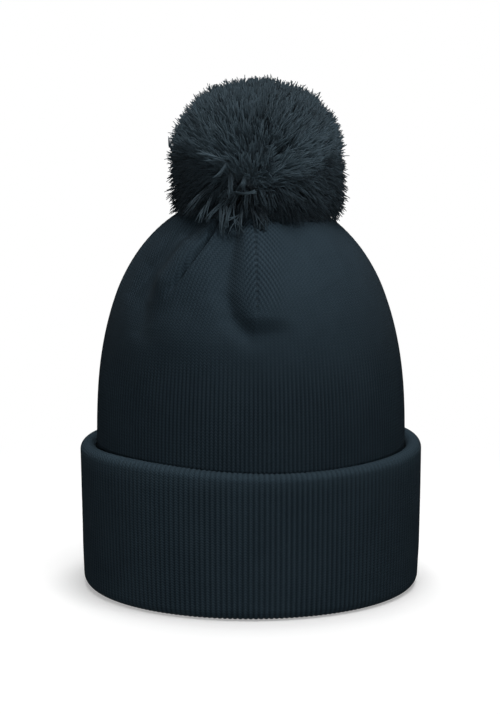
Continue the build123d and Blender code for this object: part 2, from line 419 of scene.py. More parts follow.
def knit_ring(name, face_path, back_path, row_step, waviness):
    """A ribbed band from its face path, closed behind by its back path, both as (half width, height)."""
    columns = CUFF_RIBS * SAMPLES
    angle = (FRONT + np.arange(columns) / columns * TURN)[None, :]
    w, z, s = resample(face_path, row_step)
    phase = angle / TURN * CUFF_RIBS
    uneven = CUFF_UNEVENNESS * wave_noise(angle, z[:, None], 23) * smooth(4 * MM, 20 * MM, z)[:, None]
    ribs = (rib_shape(phase) - RIB_LEVEL) * RIB_HEIGHT
    face = oval_points(w, z, angle, ribs + uneven + stitch_rows(s, CUFF_ROW, phase))
    back_w, back_z, back_s = resample(back_path, 3 * MM)
    back = oval_points(back_w, back_z, angle, np.zeros((len(back_w), columns)))
    points = np.concatenate([face, back])
    points[..., 2] += waviness(angle) * smooth(40 * MM, CUFF_TOP, points[..., 2])
    v_row = np.concatenate([s, s[-1] + back_s]) / CUFF_ROW
    left = phase + 0 * v_row[:, None]
    piece = grid_mesh(name, points, closed_rows=True, uvs=corner_uvs(left, left + 1 / SAMPLES, v_row))
    # Painted highlight along the top of the cuff's rim
    mark_points(piece, "painted_rim_highlight", RIM_PAINTED_HIGHLIGHT * smooth(*RIM_FADE, points[..., 2]))
    return mark_points(piece, "clearness", np.ones(points.shape[:2]))


# ---- materials

def set_inputs(node, inputs):
    """Sets a node's inputs to values, or links them to other nodes' outputs."""
    for name, value in inputs.items():
        if isinstance(value, bpy.types.NodeSocket):
            node.id_data.links.new(value, node.inputs[name])
        else:
            node.inputs[name].default_value = value


def add_node(tree, kind, inputs=None, **settings):
    """A new node of a kind, with its settings and inputs."""
    node = tree.nodes.new("ShaderNode" + kind)
    for name, value in settings.items():
        setattr(node, name, value)
    set_inputs(node, inputs or {})
    return node


def new_material(name):
    """A node material with one shader: (material, node tree, shader)."""
    material = bpy.data.materials.new(name)
    material.use_nodes = True
    tree = material.node_tree
    tree.nodes.clear()
    shader = add_node(tree, "BsdfPrincipled")
    add_node(tree, "OutputMaterial", {0: shader.outputs[0]})
    return material, tree, shader


def math_node(tree, operation, *values, clamp=False):
    """One step of arithmetic on numbers or other nodes' outputs."""
    return add_node(tree, "Math", dict(enumerate(values)), operation=operation, use_clamp=clamp).outputs[0]


def weighted_sum(tree, parts, start=0.0):
    """The start plus each part times its weight."""
    for part, weight in parts:
        start = math_node(tree, "MULTIPLY_ADD", part, weight, start)
    return start


def ramp(tree, factor, stops):
    """A colour that runs through (place, colour) stops."""
    node = add_node(tree, "ValToRGB", {0: factor})
    elements = node.color_ramp.elements
    while len(elements) < len(stops):
        elements.new(0.5)
    for element, (place, colour) in zip(elements, stops):
        element.position = place
        element.color = (*colour, 1)
    return node.outputs[0]


def noise(tree, vector, scale, detail=3.0, roughness=0.6):
    """Cloudy unevenness, 0 to 1, with about scale blobs to a metre."""
    inputs = {"Vector": vector, "Scale": scale, "Detail": detail, "Roughness": roughness}
    return add_node(tree, "TexNoise", inputs).outputs["Fac"]


def place_on_piece(tree):
    """Where on its piece a point is, in metres."""
    return add_node(tree, "TexCoord").outputs["Object"]


def split(tree, vector):
    """A vector's three parts."""
    return add_node(tree, "SeparateXYZ", {0: vector}).outputs


def knit_coordinates(tree):
    """The two coordinates that the meshes carry, and the place on the piece."""
    across, along, _ = split(tree, add_node(tree, "UVMap", uv_map="knit").outputs[0])
    return across, along, place_on_piece(tree)


def attribute(tree, name):
    """A value noted on the mesh's points, or 0 where the mesh has none."""
    return add_node(tree, "Attribute", attribute_name=name).outputs["Fac"]


def set_surface(shader, colour, roughness, relief, strength, distance):
    """A shader's colour and roughness, with relief that is too fine for the mesh."""
    inputs = {"Height": relief, "Strength": strength, "Distance": distance}
    bump = add_node(shader.id_data, "Bump", inputs)
    set_inputs(shader, {"Base Color": colour, "Roughness": roughness, "Normal": bump.outputs[0]})


SHEEN_TINT = (0.55, 0.68, 0.78, 1)


def fibre_gloss(shader, specular, sheen, sheen_roughness):
    """The dull gloss and the faint bluish sheen of acrylic fibre."""
    set_inputs(shader, {"Specular IOR Level": specular, "Sheen Weight": sheen})
    set_inputs(shader, {"Sheen Roughness": sheen_roughness, "Sheen Tint": SHEEN_TINT})


def knit_material(name, dark, light, stitch=1.0, rib_middle=0.25):
    """Fine knit: slanting stitch legs down each rib, fuzz, slow changes of shade, painted shade in the rib
    furrows and a painted highlight on the cuff's rim.
    """
    material, tree, shader = new_material(name)
    across, along, place = knit_coordinates(tree)
    # Distance from the rib's middle, 0 on top and 0.5 in the furrow
    off = math_node(tree, "ABSOLUTE", math_node(tree, "SUBTRACT", across, math_node(tree, "ROUND", across)))
    leg = weighted_sum(tree, [(off, 1.5), (noise(tree, place, 420), 0.35)], along)
    legs = math_node(tree, "SINE", math_node(tree, "MULTIPLY", leg, TURN))
    legs = math_node(tree, "MULTIPLY_ADD", legs, 0.5, 0.5)
    middle = math_node(tree, "MULTIPLY", off, 9.0, clamp=True)
    fuzz = noise(tree, place, 2600, 2.0, 0.7)
    relief = weighted_sum(tree, [(legs, 0.55), (middle, rib_middle), (fuzz, 0.5)])
    # Painted shade: the rib crests are painted lighter and the furrows darker, as much as the ribs are clear
    crest = math_node(tree, "MULTIPLY_ADD", off, -2.0, 0.5)
    rib_shade = math_node(tree, "MULTIPLY_ADD", attribute(tree, "clearness"), 0.42, 0.06)
    shades = [(crest, rib_shade), (legs, 0.22), (noise(tree, place, 38), 0.3), (fuzz, 0.25)]
    # Plus the painted highlight along the cuff's rim
    shade = weighted_sum(tree, shades + [(attribute(tree, "painted_rim_highlight"), 1.0)], 0.12)
    rough = math_node(tree, "MULTIPLY_ADD", noise(tree, place, 300), 0.12, 0.84)
    colour = ramp(tree, shade, [(0.1, dark), (0.8, light)])
    set_surface(shader, colour, rough, relief, 0.75 * stitch, 0.35 * MM)
    fibre_gloss(shader, 0.06, 0.02, 0.45)
    return material


def yarn_material(name, dark, light):
    """Plied yarn, with painted shade that darkens each strand towards its root inside the ball, and light at
    some tips.
    """
    material, tree, shader = new_material(name)
    tone, along, place = knit_coordinates(tree)
    fibre = noise(tree, place, 1800, 2.0, 0.7)
    # Painted shade: lighter towards each strand's tip, darker towards its root
    reveal = add_node(tree, "MapRange", {"Value": along, "From Min": 0.45}).outputs[0]
    shade = weighted_sum(tree, [(tone, 0.55), (reveal, 0.35), (fibre, 0.3)])
    rough = math_node(tree, "MULTIPLY_ADD", fibre, 0.15, 0.72)
    set_surface(shader, ramp(tree, shade, [(0.2, dark), (1.05, light)]), rough, fibre, 0.6, 0.2 * MM)
    fibre_gloss(shader, 0.14, 0.07, 0.4)
    return material


WEAVE_PITCH = 0.5 * MM


def woven_material(name, dark, light):
    """Fine plain-woven cloth: threads over and under each other, with slightly uneven shade."""
    material, tree, shader = new_material(name)
    place = place_on_piece(tree)
    x, _, z = split(tree, place)
    rate = TURN / WEAVE_PITCH
    warp, weft = [math_node(tree, "SINE", math_node(tree, "MULTIPLY", part, rate)) for part in (x, z)]
    weave = math_node(tree, "MULTIPLY_ADD", math_node(tree, "MULTIPLY", warp, weft), 0.5, 0.5)
    uneven = noise(tree, place, 500)
    colour = ramp(tree, weighted_sum(tree, [(weave, 0.4), (uneven, 0.6)]), [(0.2, dark), (0.85, light)])
    rough = math_node(tree, "MULTIPLY_ADD", uneven, 0.15, 0.6)
    set_surface(shader, colour, rough, weave, 0.5, 0.1 * MM)
    return material


# The body's ribs are smooth on top, and the cuff's stitches stand out more
body_material = knit_material("body_knit", (0.0042, 0.0084, 0.0126), (0.0212, 0.0352, 0.0466), 1.0, 0.05)
# The cuff's knit is painted lighter than the body's, as painted light from the floor's bounce
cuff_material = knit_material("cuff_knit", (0.0054, 0.0107, 0.0158), (0.0284, 0.0466, 0.0612), 1.1)
lining_material = knit_material("lining_knit", (0.004, 0.008, 0.012), (0.019, 0.032, 0.043))
thread_material = yarn_material("seam_thread", (0.004, 0.0075, 0.011), (0.024, 0.038, 0.049))
cord_material = yarn_material("tie_cord", (0.0045, 0.0085, 0.012), (0.030, 0.047, 0.060))
label_material = woven_material("label_cloth", (0.62, 0.60, 0.56), (0.80, 0.79, 0.75))
pom_material = yarn_material("pom_yarn", (0.0036, 0.0072, 0.0104), (0.042, 0.065, 0.081))


# ---- the body and lining

outer = knit_body("body_outer_knit", 0, True, BODY_ROW / 2, SAMPLES)
finish_piece(outer, "crown", "body_knit", body_material, "outer_knit_layer")

LINING_INSET = BODY_W - lining_high.x
LINING_SAMPLES = 4
lining = knit_body("lining_knit", LINING_INSET, False, BODY_ROW, LINING_SAMPLES)
finish_piece(lining, None, "lining_knit", lining_material, "inner_knit_layer")
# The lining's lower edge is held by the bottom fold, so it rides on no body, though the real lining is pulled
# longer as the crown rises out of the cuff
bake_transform(lining)


# ---- the cuff

def cuff_waviness(angle):
    """How the cuff's rim rises and falls a little round the hat."""
    return MM * (0.7 * np.sin(angle * 2 + 0.6) + 0.5 * np.sin(angle * 3 + 2.0) + 0.3 * np.sin(angle * 5))


CUFF_LAYER = 1.8 * MM  # how thick the cuff's band is
INNER_FACE_W = inner_high.x - 2.2 * MM  # the side of the cuff's inner layer that is next to the body
BODY_GAP = 0.7 * MM  # between the body and the cuff's rolled rim
ROLL = (CUFF_W - (BODY_W + BODY_GAP)) / 2
ROLL_W = CUFF_W - ROLL  # the half width of the middle of the roll
FOLD_TOP = fold_high.z
FOOT_W = fold_high.x
INSIDE_W = lining_high.x - LAYER
FOLD_ROUND = 5.0 * MM  # how wide the turns on each side of the bottom fold are
FLOOR_GAP = 0.35 * MM  # the fold's rib tops stand out by nearly this much
HEM_END = CUFF_TOP - 2.0 * ROLL
cuff_face = (
    [(INSIDE_W, FOLD_TOP)]
    + arc((INSIDE_W + FOLD_ROUND, FOLD_TOP), FOLD_ROUND, FOLD_TOP - FLOOR_GAP, 180, 270)
    + arc((FOOT_W - FOLD_ROUND, FOLD_TOP), FOLD_ROUND, FOLD_TOP - FLOOR_GAP, 270, 355)
    + [(FOOT_W + 0.7 * MM, 20 * MM), (CUFF_W - 0.3 * MM, 50 * MM)]
    + arc((ROLL_W, CUFF_TOP - ROLL), ROLL, ROLL, 0, 180, 24)
    + [(ROLL_W - ROLL, HEM_END)]
)
cuff_back = [
    (ROLL_W - ROLL + 1.6 * MM, HEM_END),
    (ROLL_W - ROLL + CUFF_LAYER, CUFF_TOP - ROLL),
    (ROLL_W, CUFF_TOP - CUFF_LAYER),
    (CUFF_W - CUFF_LAYER, CUFF_TOP - ROLL),
    (FOOT_W - 1.6 * MM, FOLD_TOP + 0.1 * MM),
]
cuff = knit_ring("cuff_outer_knit", cuff_face, cuff_back, CUFF_ROW / 2, cuff_waviness)
finish_piece(cuff, "cuff", "cuff_knit", cuff_material, "cuff_outer_layer", "bottom_fold")

inner_face = [(INNER_FACE_W, inner_high.z), (INNER_FACE_W, inner_low.z)]
inner_back = [(inner_high.x - 0.4 * MM, inner_low.z), (inner_high.x - 0.4 * MM, inner_high.z)]
cuff_inner = knit_ring("cuff_inner_knit", inner_face, inner_back, CUFF_ROW * 2, lambda angle: 0 * angle)
finish_piece(cuff_inner, "cuff", "cuff_knit", cuff_material, "cuff_inner_layer")


# ---- strands, threads and cords

STRAND_SIDES = 4
STRAND_RINGS = 6


def bend(roots, middles, tips, t):
    """Points at the share t of curves that leave the roots towards the middles and end at the tips."""
    return roots * (1 - t) ** 2 + middles * (2 * t * (1 - t)) + tips * t**2


def strand_mesh(name, strands, radii):
    """Tapering bent strands, as (roots, middles, tips, tones). radii are (root, middle, tip)."""
    roots, middles, tips, tones = strands
    t = np.linspace(0, 1, STRAND_RINGS)
    curve = bend(roots[:, None], middles[:, None], tips[:, None], t[None, :, None])
    tangent = unit(np.gradient(curve, axis=1))
    helper = np.where(np.abs(tangent[..., 2:3]) > 0.9, [1.0, 0, 0], [0, 0, 1.0])
    side_a = unit(np.cross(tangent, helper))
    side_b = np.cross(tangent, side_a)
    root, middle, tip = radii
    thick = np.interp(t, [0, 0.6, 0.93, 1], [root, middle, tip, tip * 0.5])
    turns = np.arange(STRAND_SIDES) / STRAND_SIDES * TURN
    ring = side_a[:, :, None] * np.cos(turns)[:, None] + side_b[:, :, None] * np.sin(turns)[:, None]
    points = curve[:, :, None] + ring * thick[None, :, None, None]
    grid = np.arange(points[..., 0].size).reshape(points.shape[:3])
    beside = np.roll(grid, -1, axis=2)
    walls = np.stack([grid[:, :-1], beside[:, :-1], beside[:, 1:], grid[:, 1:]], -1).reshape(-1, 4)
    faces = np.concatenate([walls, grid[:, -1], grid[:, 0, ::-1]])
    uvs = np.empty((*grid.shape, 2))
    uvs[..., 0] = np.reshape(tones, (-1, 1, 1))
    uvs[..., 1] = t[:, None]
    return face_mesh(name, points.reshape(-1, 3), faces, uvs.reshape(-1, 2)[faces.ravel()])


TWIST = 7 * MM  # of cord to one turn of its plies
PLY_RELIEF = 0.14  # how much a cord's three plies stand out, as a share of its radius


def cord_mesh(name, path, radius):
    """A twisted three-ply cord along a path of points, rounded at both ends."""
    path = np.array(path, float)
    along = np.concatenate([[0], np.cumsum(np.linalg.norm(np.diff(path, axis=0), axis=1))])
    s = np.linspace(0, along[-1], max(8, int(along[-1] / (0.35 * MM))))
    line = np.stack([np.interp(s, along, path[:, k]) for k in range(3)], -1)
    tangent = unit(np.gradient(line, axis=0))
    sides = [unit(np.cross(tangent[0], [0.3, 0.9, 0.2]))]
    for direction in tangent[1:]:
        sides.append(unit(sides[-1] - direction * (sides[-1] @ direction)))
    side_a = np.array(sides)
    side_b = np.cross(tangent, side_a)
    turns = np.arange(24) / 24 * TURN
    plies = 1 + PLY_RELIEF * np.cos(3 * (turns[None, :] - s[:, None] / TWIST * TURN))
    ends = np.sqrt(np.clip(np.minimum(s, s[-1] - s) / radius, 0.02, 1))
    thick = (radius * plies * ends[:, None])[..., None]
    ring = side_a[:, None] * np.cos(turns)[:, None] + side_b[:, None] * np.sin(turns)[:, None]
    tone = np.full((len(s), len(turns)), 0.5)
    share = np.broadcast_to(np.linspace(0.8, 1, len(s))[:, None], tone.shape)
    uvs = np.repeat(np.stack([tone, share], -1)[:-1, :, None], 4, axis=2)
    return grid_mesh(name, line[:, None] + thick * ring, uvs=uvs)


# ---- the pom

POM_X = (pom_low.x + pom_high.x) / 2
POM_MIDDLE = 222 * MM
POM_BOTTOM = 188 * MM  # the hanging ends reach down here on the crown
POM_CENTRE = np.array([POM_X, 0.0, POM_MIDDLE])
POM_WAIST = np.array([POM_X * 0.4, 0.0, 211 * MM])
POM_W = pom_high.x - POM_X
POM_DEPTH = 52 * MM
YARNS = 4600
PLIES = 4
BALL_FRAY = 1.15 * MM  # how far a yarn's plies part: on the ball, the fringe and the raised tufts
FRINGE_FRAY = 1.7 * MM
RAISED_FRAY = 0.5 * MM
LOW_PAINTED_SHADE = 0.4  # painted shade: how much darker the lowest yarn is painted, under the ball

# The yarn lies away from these two places, one on the front of the ball and one on the back
POM_POLES = [np.array([-0.10, -0.97, -0.20]), np.array([0.12, 0.97, -0.15])]
POM_LIFT = 0.7  # how far the lying yarn's ends stand up
POM_POWERS = (2.25, 5.0)  # how round the pom is above its middle, and how square below

# The parting between the ball's upper cap and its lower ends, (across, height) in mm on each face
PARTINGS = {
    -1: [(-44, 232), (-28, 228), (-14, 220), (0, 213), (16, 212), (31, 217), (46, 228)],
    1: [(-40, 224), (-18, 214), (6, 211), (26, 218), (46, 230)],
}
PARTING_DEPTH = 6.0
PARTING_HALF_WIDTH = 3.2

# Places on the front of the ball where the cut ends stand deeper or prouder than the rest:
# (across, height, half width, half height, how much prouder), all in mm
POM_DENTS = [
    (-8, 215, 8, 6, -10),
    (-34, 213, 13, 14, -7),
    (-19, 229, 6, 2.5, 2.5),
    (40, 216, 7, 8, -3.5),
    (18, 206, 16, 3.5, 2.0),
    (6, 197, 26, 3, -3),
    (-4, 240, 1.6, 9, -2.2),
    (5, 250, 1.4, 8, -2.0),
    (-16, 246, 1.5, 7, -1.8),
    (14, 236, 1.4, 7, -1.6),
    (1, 229, 1.3, 6, -1.8),
]


def pom_reach(direction):
    """How far the cut ends stand from the pom's centre in each direction, and how much of it is dents.

    The pom is a trimmed, squashed ball. The dents are in mm, and negative where the ends stand deeper.
    """
    x, y, z = direction[:, 0], direction[:, 1], direction[:, 2]
    across = np.hypot(x / POM_W, y / POM_DEPTH)
    rise = np.where(z > 0, z / (pom_high.z - POM_MIDDLE), -z / (POM_MIDDLE - POM_BOTTOM))
    power = np.where(z > 0, *POM_POWERS)
    reach = (across**power + rise**power) ** (-1 / power)
    lumps = 0.010 * np.sin(5 * x + 9 * y + 3 * z) + 0.010 * np.sin(11 * x - 7 * z + 1)
    reach *= 1 + lumps + 0.006 * np.sin(17 * z + 13 * y + 5 * x)
    plain = reach.copy()
    across_mm = (POM_CENTRE[0] + x * reach) / MM
    height_mm = (POM_CENTRE[2] + z * reach) / MM
    for place_x, place_z, half_w, half_h, proud in POM_DENTS:
        near = ((across_mm - place_x) / half_w) ** 2 + ((height_mm - place_z) / half_h) ** 2
        reach += proud * MM * np.exp(-near) * (y < 0)
    for face, path in PARTINGS.items():
        away, _ = distance_to_path(across_mm, height_mm, path)
        groove = np.exp(-((away / PARTING_HALF_WIDTH) ** 2)) * smooth(0.1, 0.4, y * face)
        reach -= PARTING_DEPTH * MM * groove
    return reach, (reach - plain) / MM


def pom_flow(direction):
    """Which way the yarn lies on the ball at each direction: along its surface, away from the poles."""
    flow = np.zeros(direction.shape)
    for pole in POM_POLES:
        toward = direction @ (pole / np.linalg.norm(pole))
        flow += smooth(-0.25, 0.5, toward)[:, None] * (toward[:, None] * direction - pole)
    return flow / (np.linalg.norm(flow, axis=1, keepdims=True) + 0.02) ** 0.5


def sphere_directions(count, draw):
    """Evenly scattered directions, a little shaken."""
    i = np.arange(count) + 0.5
    z = 1 - 2 * i / count
    turn = i * math.pi * (3 - math.sqrt(5))
    r = np.sqrt(1 - z * z)
    d = np.stack([r * np.cos(turn), r * np.sin(turn), z], -1)
    return unit(d + draw.normal(0, 0.02, d.shape))


def crown_height(x, y):
    """Height of the crown's surface under each point, or far below where it has none."""
    heights, widths = dome_width_by_height()
    width = np.hypot(x, y / DEPTH)
    return np.where(width < widths[0], np.interp(-width, -widths[1:], heights[1:]), -1.0)


def clear_of_crown(points, gap):
    """Lifts points that would sink into the crown to just above it."""
    lifted = points.copy()
    lifted[:, 2] = np.maximum(points[:, 2], crown_height(points[:, 0], points[:, 1]) + gap)
    return lifted


def plied(draw, roots, middles, tips, tones, fray):
    """Each yarn as its plies, which part towards the cut end by about fray."""
    many = [np.repeat(values, PLIES, axis=0) for values in (roots, middles, tips)]
    for values, share in zip(many, (0.35, 0.5, 1.0)):
        values += draw.normal(0, fray * share, values.shape)
    # Tones may go below 0 by the painted shade of the lowest yarn
    tones = np.clip(np.repeat(tones, PLIES) + draw.normal(0, 0.12, len(tones) * PLIES), -LOW_PAINTED_SHADE, 1)
    return (*many, tones)


def parting_height(x, y):
    """The height of the parting over each place, from the front one round to the back one."""
    heights = [np.interp(x, *(np.array(PARTINGS[face]) * MM).T) for face in (-1, 1)]
    back = smooth(-0.5, 0.5, y / POM_DEPTH)
    return heights[0] * (1 - back) + heights[1] * back


def ball_yarns(draw):
    """The yarn of the trimmed ball: (roots, middles, tips, tones)."""
    d = sphere_directions(YARNS, draw)
    reach, dents = pom_reach(d)
    reach = reach * (1 - 0.035 * draw.random(YARNS) ** 2)
    tips = clear_of_crown(POM_CENTRE + d * reach[:, None], 0.9 * MM)
    over_parting = tips[:, 2] - parting_height(tips[:, 0], tips[:, 1])
    below = smooth(2 * MM, -6 * MM, over_parting)
    flow = pom_flow(d) * (1 - 0.5 * below[:, None])
    flow[:, 2] -= 0.7 * below
    lie = unit(POM_LIFT * d + flow + draw.normal(0, 0.24, d.shape))
    middles = tips - lie * (reach * draw.uniform(0.2, 0.3, YARNS))[:, None]
    roots = POM_WAIST + (middles - POM_WAIST) * 0.3 + draw.normal(0, 1.2 * MM, (YARNS, 3))
    # Each yarn's tone varies at random, with painted light towards the cap's lower edge, painted shade below
    # the parting, in the deeper dents and low on the ball, and painted light where the ends stand prouder
    painted_cap_light = 1 - smooth(4 * MM, 34 * MM, over_parting)
    tones = draw.normal(0.55, 0.2, YARNS) + 0.3 * painted_cap_light - 0.72 * below + 0.05 * np.clip(dents, -8, 3)
    tones = np.clip(tones, 0, 1) - LOW_PAINTED_SHADE * smooth(212 * MM, 202 * MM, tips[:, 2])
    return roots, clear_of_crown(middles, 1.2 * MM), tips, tones


def loose_yarns(draw, count, start, spread, end_low, end_high, bow, tone):
    """A tuft of loose yarn from near one point, fanned out to tips between two points."""
    share = np.sort(draw.random(count))[:, None]
    tips = np.array(end_low) * (1 - share) + np.array(end_high) * share + draw.normal(0, 0.9, (count, 3))
    roots = np.array(start) + draw.normal(0, spread, (count, 3))
    middles = (roots + tips) / 2 + np.array(bow) + draw.normal(0, 0.8, (count, 3))
    tones = np.clip(draw.normal(tone, 0.12, count), 0, 1)
    return roots * MM, middles * MM, clear_of_crown(tips * MM, 0.6 * MM), tones


# Loose tufts on the front of the ball. Each: yarns, start, spread, the tips' two ends, bow and tone,
# with places as (across, towards the back, height) in mm
# The fringe's low tones are painted shade under the ball
FRINGE_TUFTS = [
    (4, (-12, -38, 209), 4.0, (-27, -54, 198), (-13, -56, 192), (0, -4, 2), 0.45),
    (5, (-6, -39, 208), 4.0, (-14, -56, 194), (-1, -56, 191), (0, -5, 2), 0.45),
    (3, (-20, -36, 212), 3.5, (-32, -49, 204), (-23, -52, 198), (-1, -4, 2), 0.3),
    (4, (2, -40, 205), 3.5, (0, -54, 195), (12, -54, 194), (0, -3, 1), 0.05),
]
RAISED_TUFTS = [
    (8, (-12, -44, 226), 1.0, (-26, -50, 232), (-21, -51, 229), (0, -5, 1), 1.0),
    (2, (-14, -48, 226), 0.4, (-19.5, -52, 218.5), (-18.5, -52, 219.5), (1.5, -2, 0), 1.0),
    (2, (-9, -46, 212), 0.4, (2.5, -50, 212), (3.5, -50, 211.5), (0, -3, -0.6), 0.7),
    (4, (-3, -43, 223), 1.2, (-7, -50, 215), (-2, -50, 214), (1, -3, 0), 0.5),
    (5, (-9, -43, 223), 1.2, (-14, -50, 212), (-9, -50, 210), (-1, -3, 0), 0.5),
]
HANGING_TOP = 211 * MM  # yarn whose tips are below this lies on the crown
ROCK_PIVOT = np.array([0.0, 0.0, 208 * MM])
FULL_ROCK = math.radians(21)  # both ways of rocking at once, each at its limit
INNER_TOP = 234 * MM  # how high the yarn that stays behind the ball's lower edge goes
INNER_REACH = 0.93  # how far out its ends are, next to the ball's own
STRAND_RADII = (0.28 * MM, 0.36 * MM, 0.30 * MM)


def join(groups):
    """Several groups of strands as one."""
    return [np.concatenate(parts) for parts in zip(*groups)]


def sinks_when_rocked(points):
    """Whether each point of the pom would be under the crown's surface with the pom rocked to its side."""
    arm = points - ROCK_PIVOT
    out = np.hypot(arm[:, 0], arm[:, 1]) + 1e-9
    out_rocked = out * math.cos(FULL_ROCK) + arm[:, 2] * math.sin(FULL_ROCK)
    z_rocked = ROCK_PIVOT[2] + arm[:, 2] * math.cos(FULL_ROCK) - out * math.sin(FULL_ROCK)
    place = arm[:, :2] * (out_rocked / out)[:, None]
    return z_rocked < crown_height(place[:, 0], place[:, 1]) + 0.3 * MM


def pom_pieces(draw):
    """The pom in two pieces: the ball, and the ends that hang from under it and lie on the crown.

    The hanging ends stay where they lie when the pom rocks or turns, and only the ball goes with it.
    More of the same yarn, just inside the ball, closes the ball's lower edge where it lifts.
    """
    groups = [plied(draw, *ball_yarns(draw), BALL_FRAY)]
    groups += [plied(draw, *loose_yarns(draw, *tuft), FRINGE_FRAY) for tuft in FRINGE_TUFTS]
    groups += [plied(draw, *loose_yarns(draw, *tuft), RAISED_FRAY) for tuft in RAISED_TUFTS]
    strands = join(groups)
    tips = strands[2]
    hanging = tips[:, 2] < HANGING_TOP
    for t in np.linspace(0, 1, 5):
        hanging |= sinks_when_rocked(bend(*strands[:3], t))
    behind = ~hanging & (tips[:, 2] < INNER_TOP)
    ball, low, inner = [[part[which] for part in strands] for which in (~hanging, hanging, behind)]
    inner[1:3] = [POM_CENTRE + INNER_REACH * (ends - POM_CENTRE) for ends in inner[1:3]]
    pieces = [("pom_yarn_strands", "pom", ball), ("pom_yarn_on_crown", "crown", join([low, inner]))]
    for name, body, part in pieces:
        finish_piece(strand_mesh(name, part, STRAND_RADII), body, "pom_yarn", pom_material, "pom_yarn")


pom_pieces(np.random.default_rng(5))


# ---- seams, gathers, tie and label

STITCH_PITCH = 2.0 * MM
STITCH_REACH = 0.7 * MM  # how far each stitch goes to either side of its seam
THREAD_RADII = (0.16 * MM, 0.2 * MM, 0.16 * MM)
THREAD_TONE = 0.3


def sewn(piece, node):
    """Finishes a piece of thread that stands for a node of the crown."""
    finish_piece(piece, "crown", "seam_thread", thread_material, node)


def dart_stitches(name, inset, outside, azimuth):
    """A dart's row of hooked stitches, sunk into the furrow where two panels of one layer meet."""
    w, z, _ = dome_profile(inset if outside else inset + LAYER, body_low.z, STITCH_PITCH / 4, GATHER_END)
    side = 1 if outside else -1
    reach = STITCH_REACH / np.interp(DART_BOTTOM, z, w)
    angles = (azimuth + SEAM_TURN + np.array([-reach, 0, reach]))[None, :]
    surface = body_surface(inset, w, z, angles, outside)
    sunk = oval_points(w, z, angles, surface - side * 0.75 * MM)
    proud = oval_points(w, z, angles, surface - side * 0.25 * MM)
    rows = np.arange(int(np.searchsorted(z, DART_BOTTOM + 6 * MM)), len(z) - 6, 4)
    threads = (sunk[rows, 0], proud[rows + 1, 1], sunk[rows + 2, 2], THREAD_TONE)
    return strand_mesh(name, threads, THREAD_RADII)


def join_meshes(name, parts):
    """Several finished meshes as one piece."""
    with bpy.context.temp_override(active_object=parts[0], selected_editable_objects=parts):
        bpy.ops.object.join()
    parts[0].name = name
    return parts[0]


DART_SIDES = {"front": FRONT, "right": 0.0, "back": -FRONT, "left": math.pi}
for side, azimuth in DART_SIDES.items():
    sewn(dart_stitches(f"dart_stitches_{side}", 0, True, azimuth), f"dart_seam_{side}")
lining_rows = [
    dart_stitches(f"lining_{side}", LINING_INSET, False, azimuth) for side, azimuth in DART_SIDES.items()
]
sewn(join_meshes("lining_dart_stitches", lining_rows), "lining_dart_seams")

GATHERS = 18  # stitches of each gathering thread
GATHER_RADII = (0.3 * MM, 0.34 * MM, 0.3 * MM)


def oval_ring(angle, radius, height):
    """Points of a level oval."""
    return np.stack([radius * np.cos(angle), DEPTH * radius * np.sin(angle), 0 * angle + height], -1)


def gather_thread(name, node):
    """A running thread round a layer's gathered opening, bridging from each pleat to the next."""
    low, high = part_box(node)
    middle = (low.z + high.z) / 2
    radius = high.x - 0.5 * MM
    turns = np.arange(GATHERS) / GATHERS * TURN
    step = TURN / GATHERS
    roots = oval_ring(turns, radius, middle - 0.5 * MM)
    middles = oval_ring(turns + step / 2, radius + 0.2 * MM, middle + 0.9 * MM)
    tips = oval_ring(turns + step, radius, middle - 0.5 * MM)
    return strand_mesh(name, (roots, middles, tips, THREAD_TONE), GATHER_RADII)


for layer in ("crown", "lining"):
    sewn(gather_thread(f"{layer}_gathering", f"{layer}_gather_thread"), f"{layer}_gather_thread")


# The tie: a knot under the lining, a neck through the crown and turns round the waist of the yarn
CORD_RADIUS = 1.5 * MM
KNOT_SIZE = 3.9 * MM
WRAPS = 3


def knot_path(centre, top):
    """A cord's line: a trefoil knot about centre, then straight up to top."""
    t = np.linspace(0.35, TURN - 0.15, 160)
    x = KNOT_SIZE * (np.sin(t) + 2 * np.sin(2 * t)) / 3
    y = KNOT_SIZE * (np.cos(t) - 2 * np.cos(2 * t)) / 3
    z = centre + KNOT_SIZE * 0.42 * -np.sin(3 * t)
    return np.concatenate([np.stack([x, y, z], -1), [[0.4 * MM, 0, centre + KNOT_SIZE], [0, 0, top]]])


def tie_part(name, node, body, path, radius=CORD_RADIUS):
    """One part of the tie, as cord along a path."""
    finish_piece(cord_mesh(name, path, radius), body, "tie_cord", cord_material, node)


knot_low, knot_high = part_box("tie_anchor_knot")
knot_line = knot_path(knot_low.z + KNOT_SIZE + CORD_RADIUS, knot_high.z)
tie_part("tie_knot_cord", "tie_anchor_knot", "crown", knot_line)

tie_low, tie_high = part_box("pom_tie")
tie_part("tie_neck_cord", "pom_tie", "pom_neck", [(0, 0, tie_low.z), (0, 0, tie_high.z)])

wrap_low, wrap_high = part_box("pom_binding")
wrap_radius = (wrap_high.z - wrap_low.z) / WRAPS / 2
wrap_t = np.linspace(0, 1, 200)
wrap_angle = wrap_t * WRAPS * TURN
wrap_round = wrap_high.x - wrap_radius
wrap_rise = wrap_low.z + wrap_radius + wrap_t * (wrap_high.z - wrap_low.z - 2 * wrap_radius)
wrap_line = np.stack([wrap_round * np.cos(wrap_angle), wrap_round * np.sin(wrap_angle), wrap_rise], -1)
tie_part("tie_binding_cord", "pom_binding", "pom_waist", wrap_line, wrap_radius)


# The care label: one blank leaf of woven cloth, stitched along its top edge
label_low, label_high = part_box("care_label")
LABEL_SIZE = (label_high.x - label_low.x, label_high.z - label_low.z)
LABEL_CLOTH = 0.45 * MM


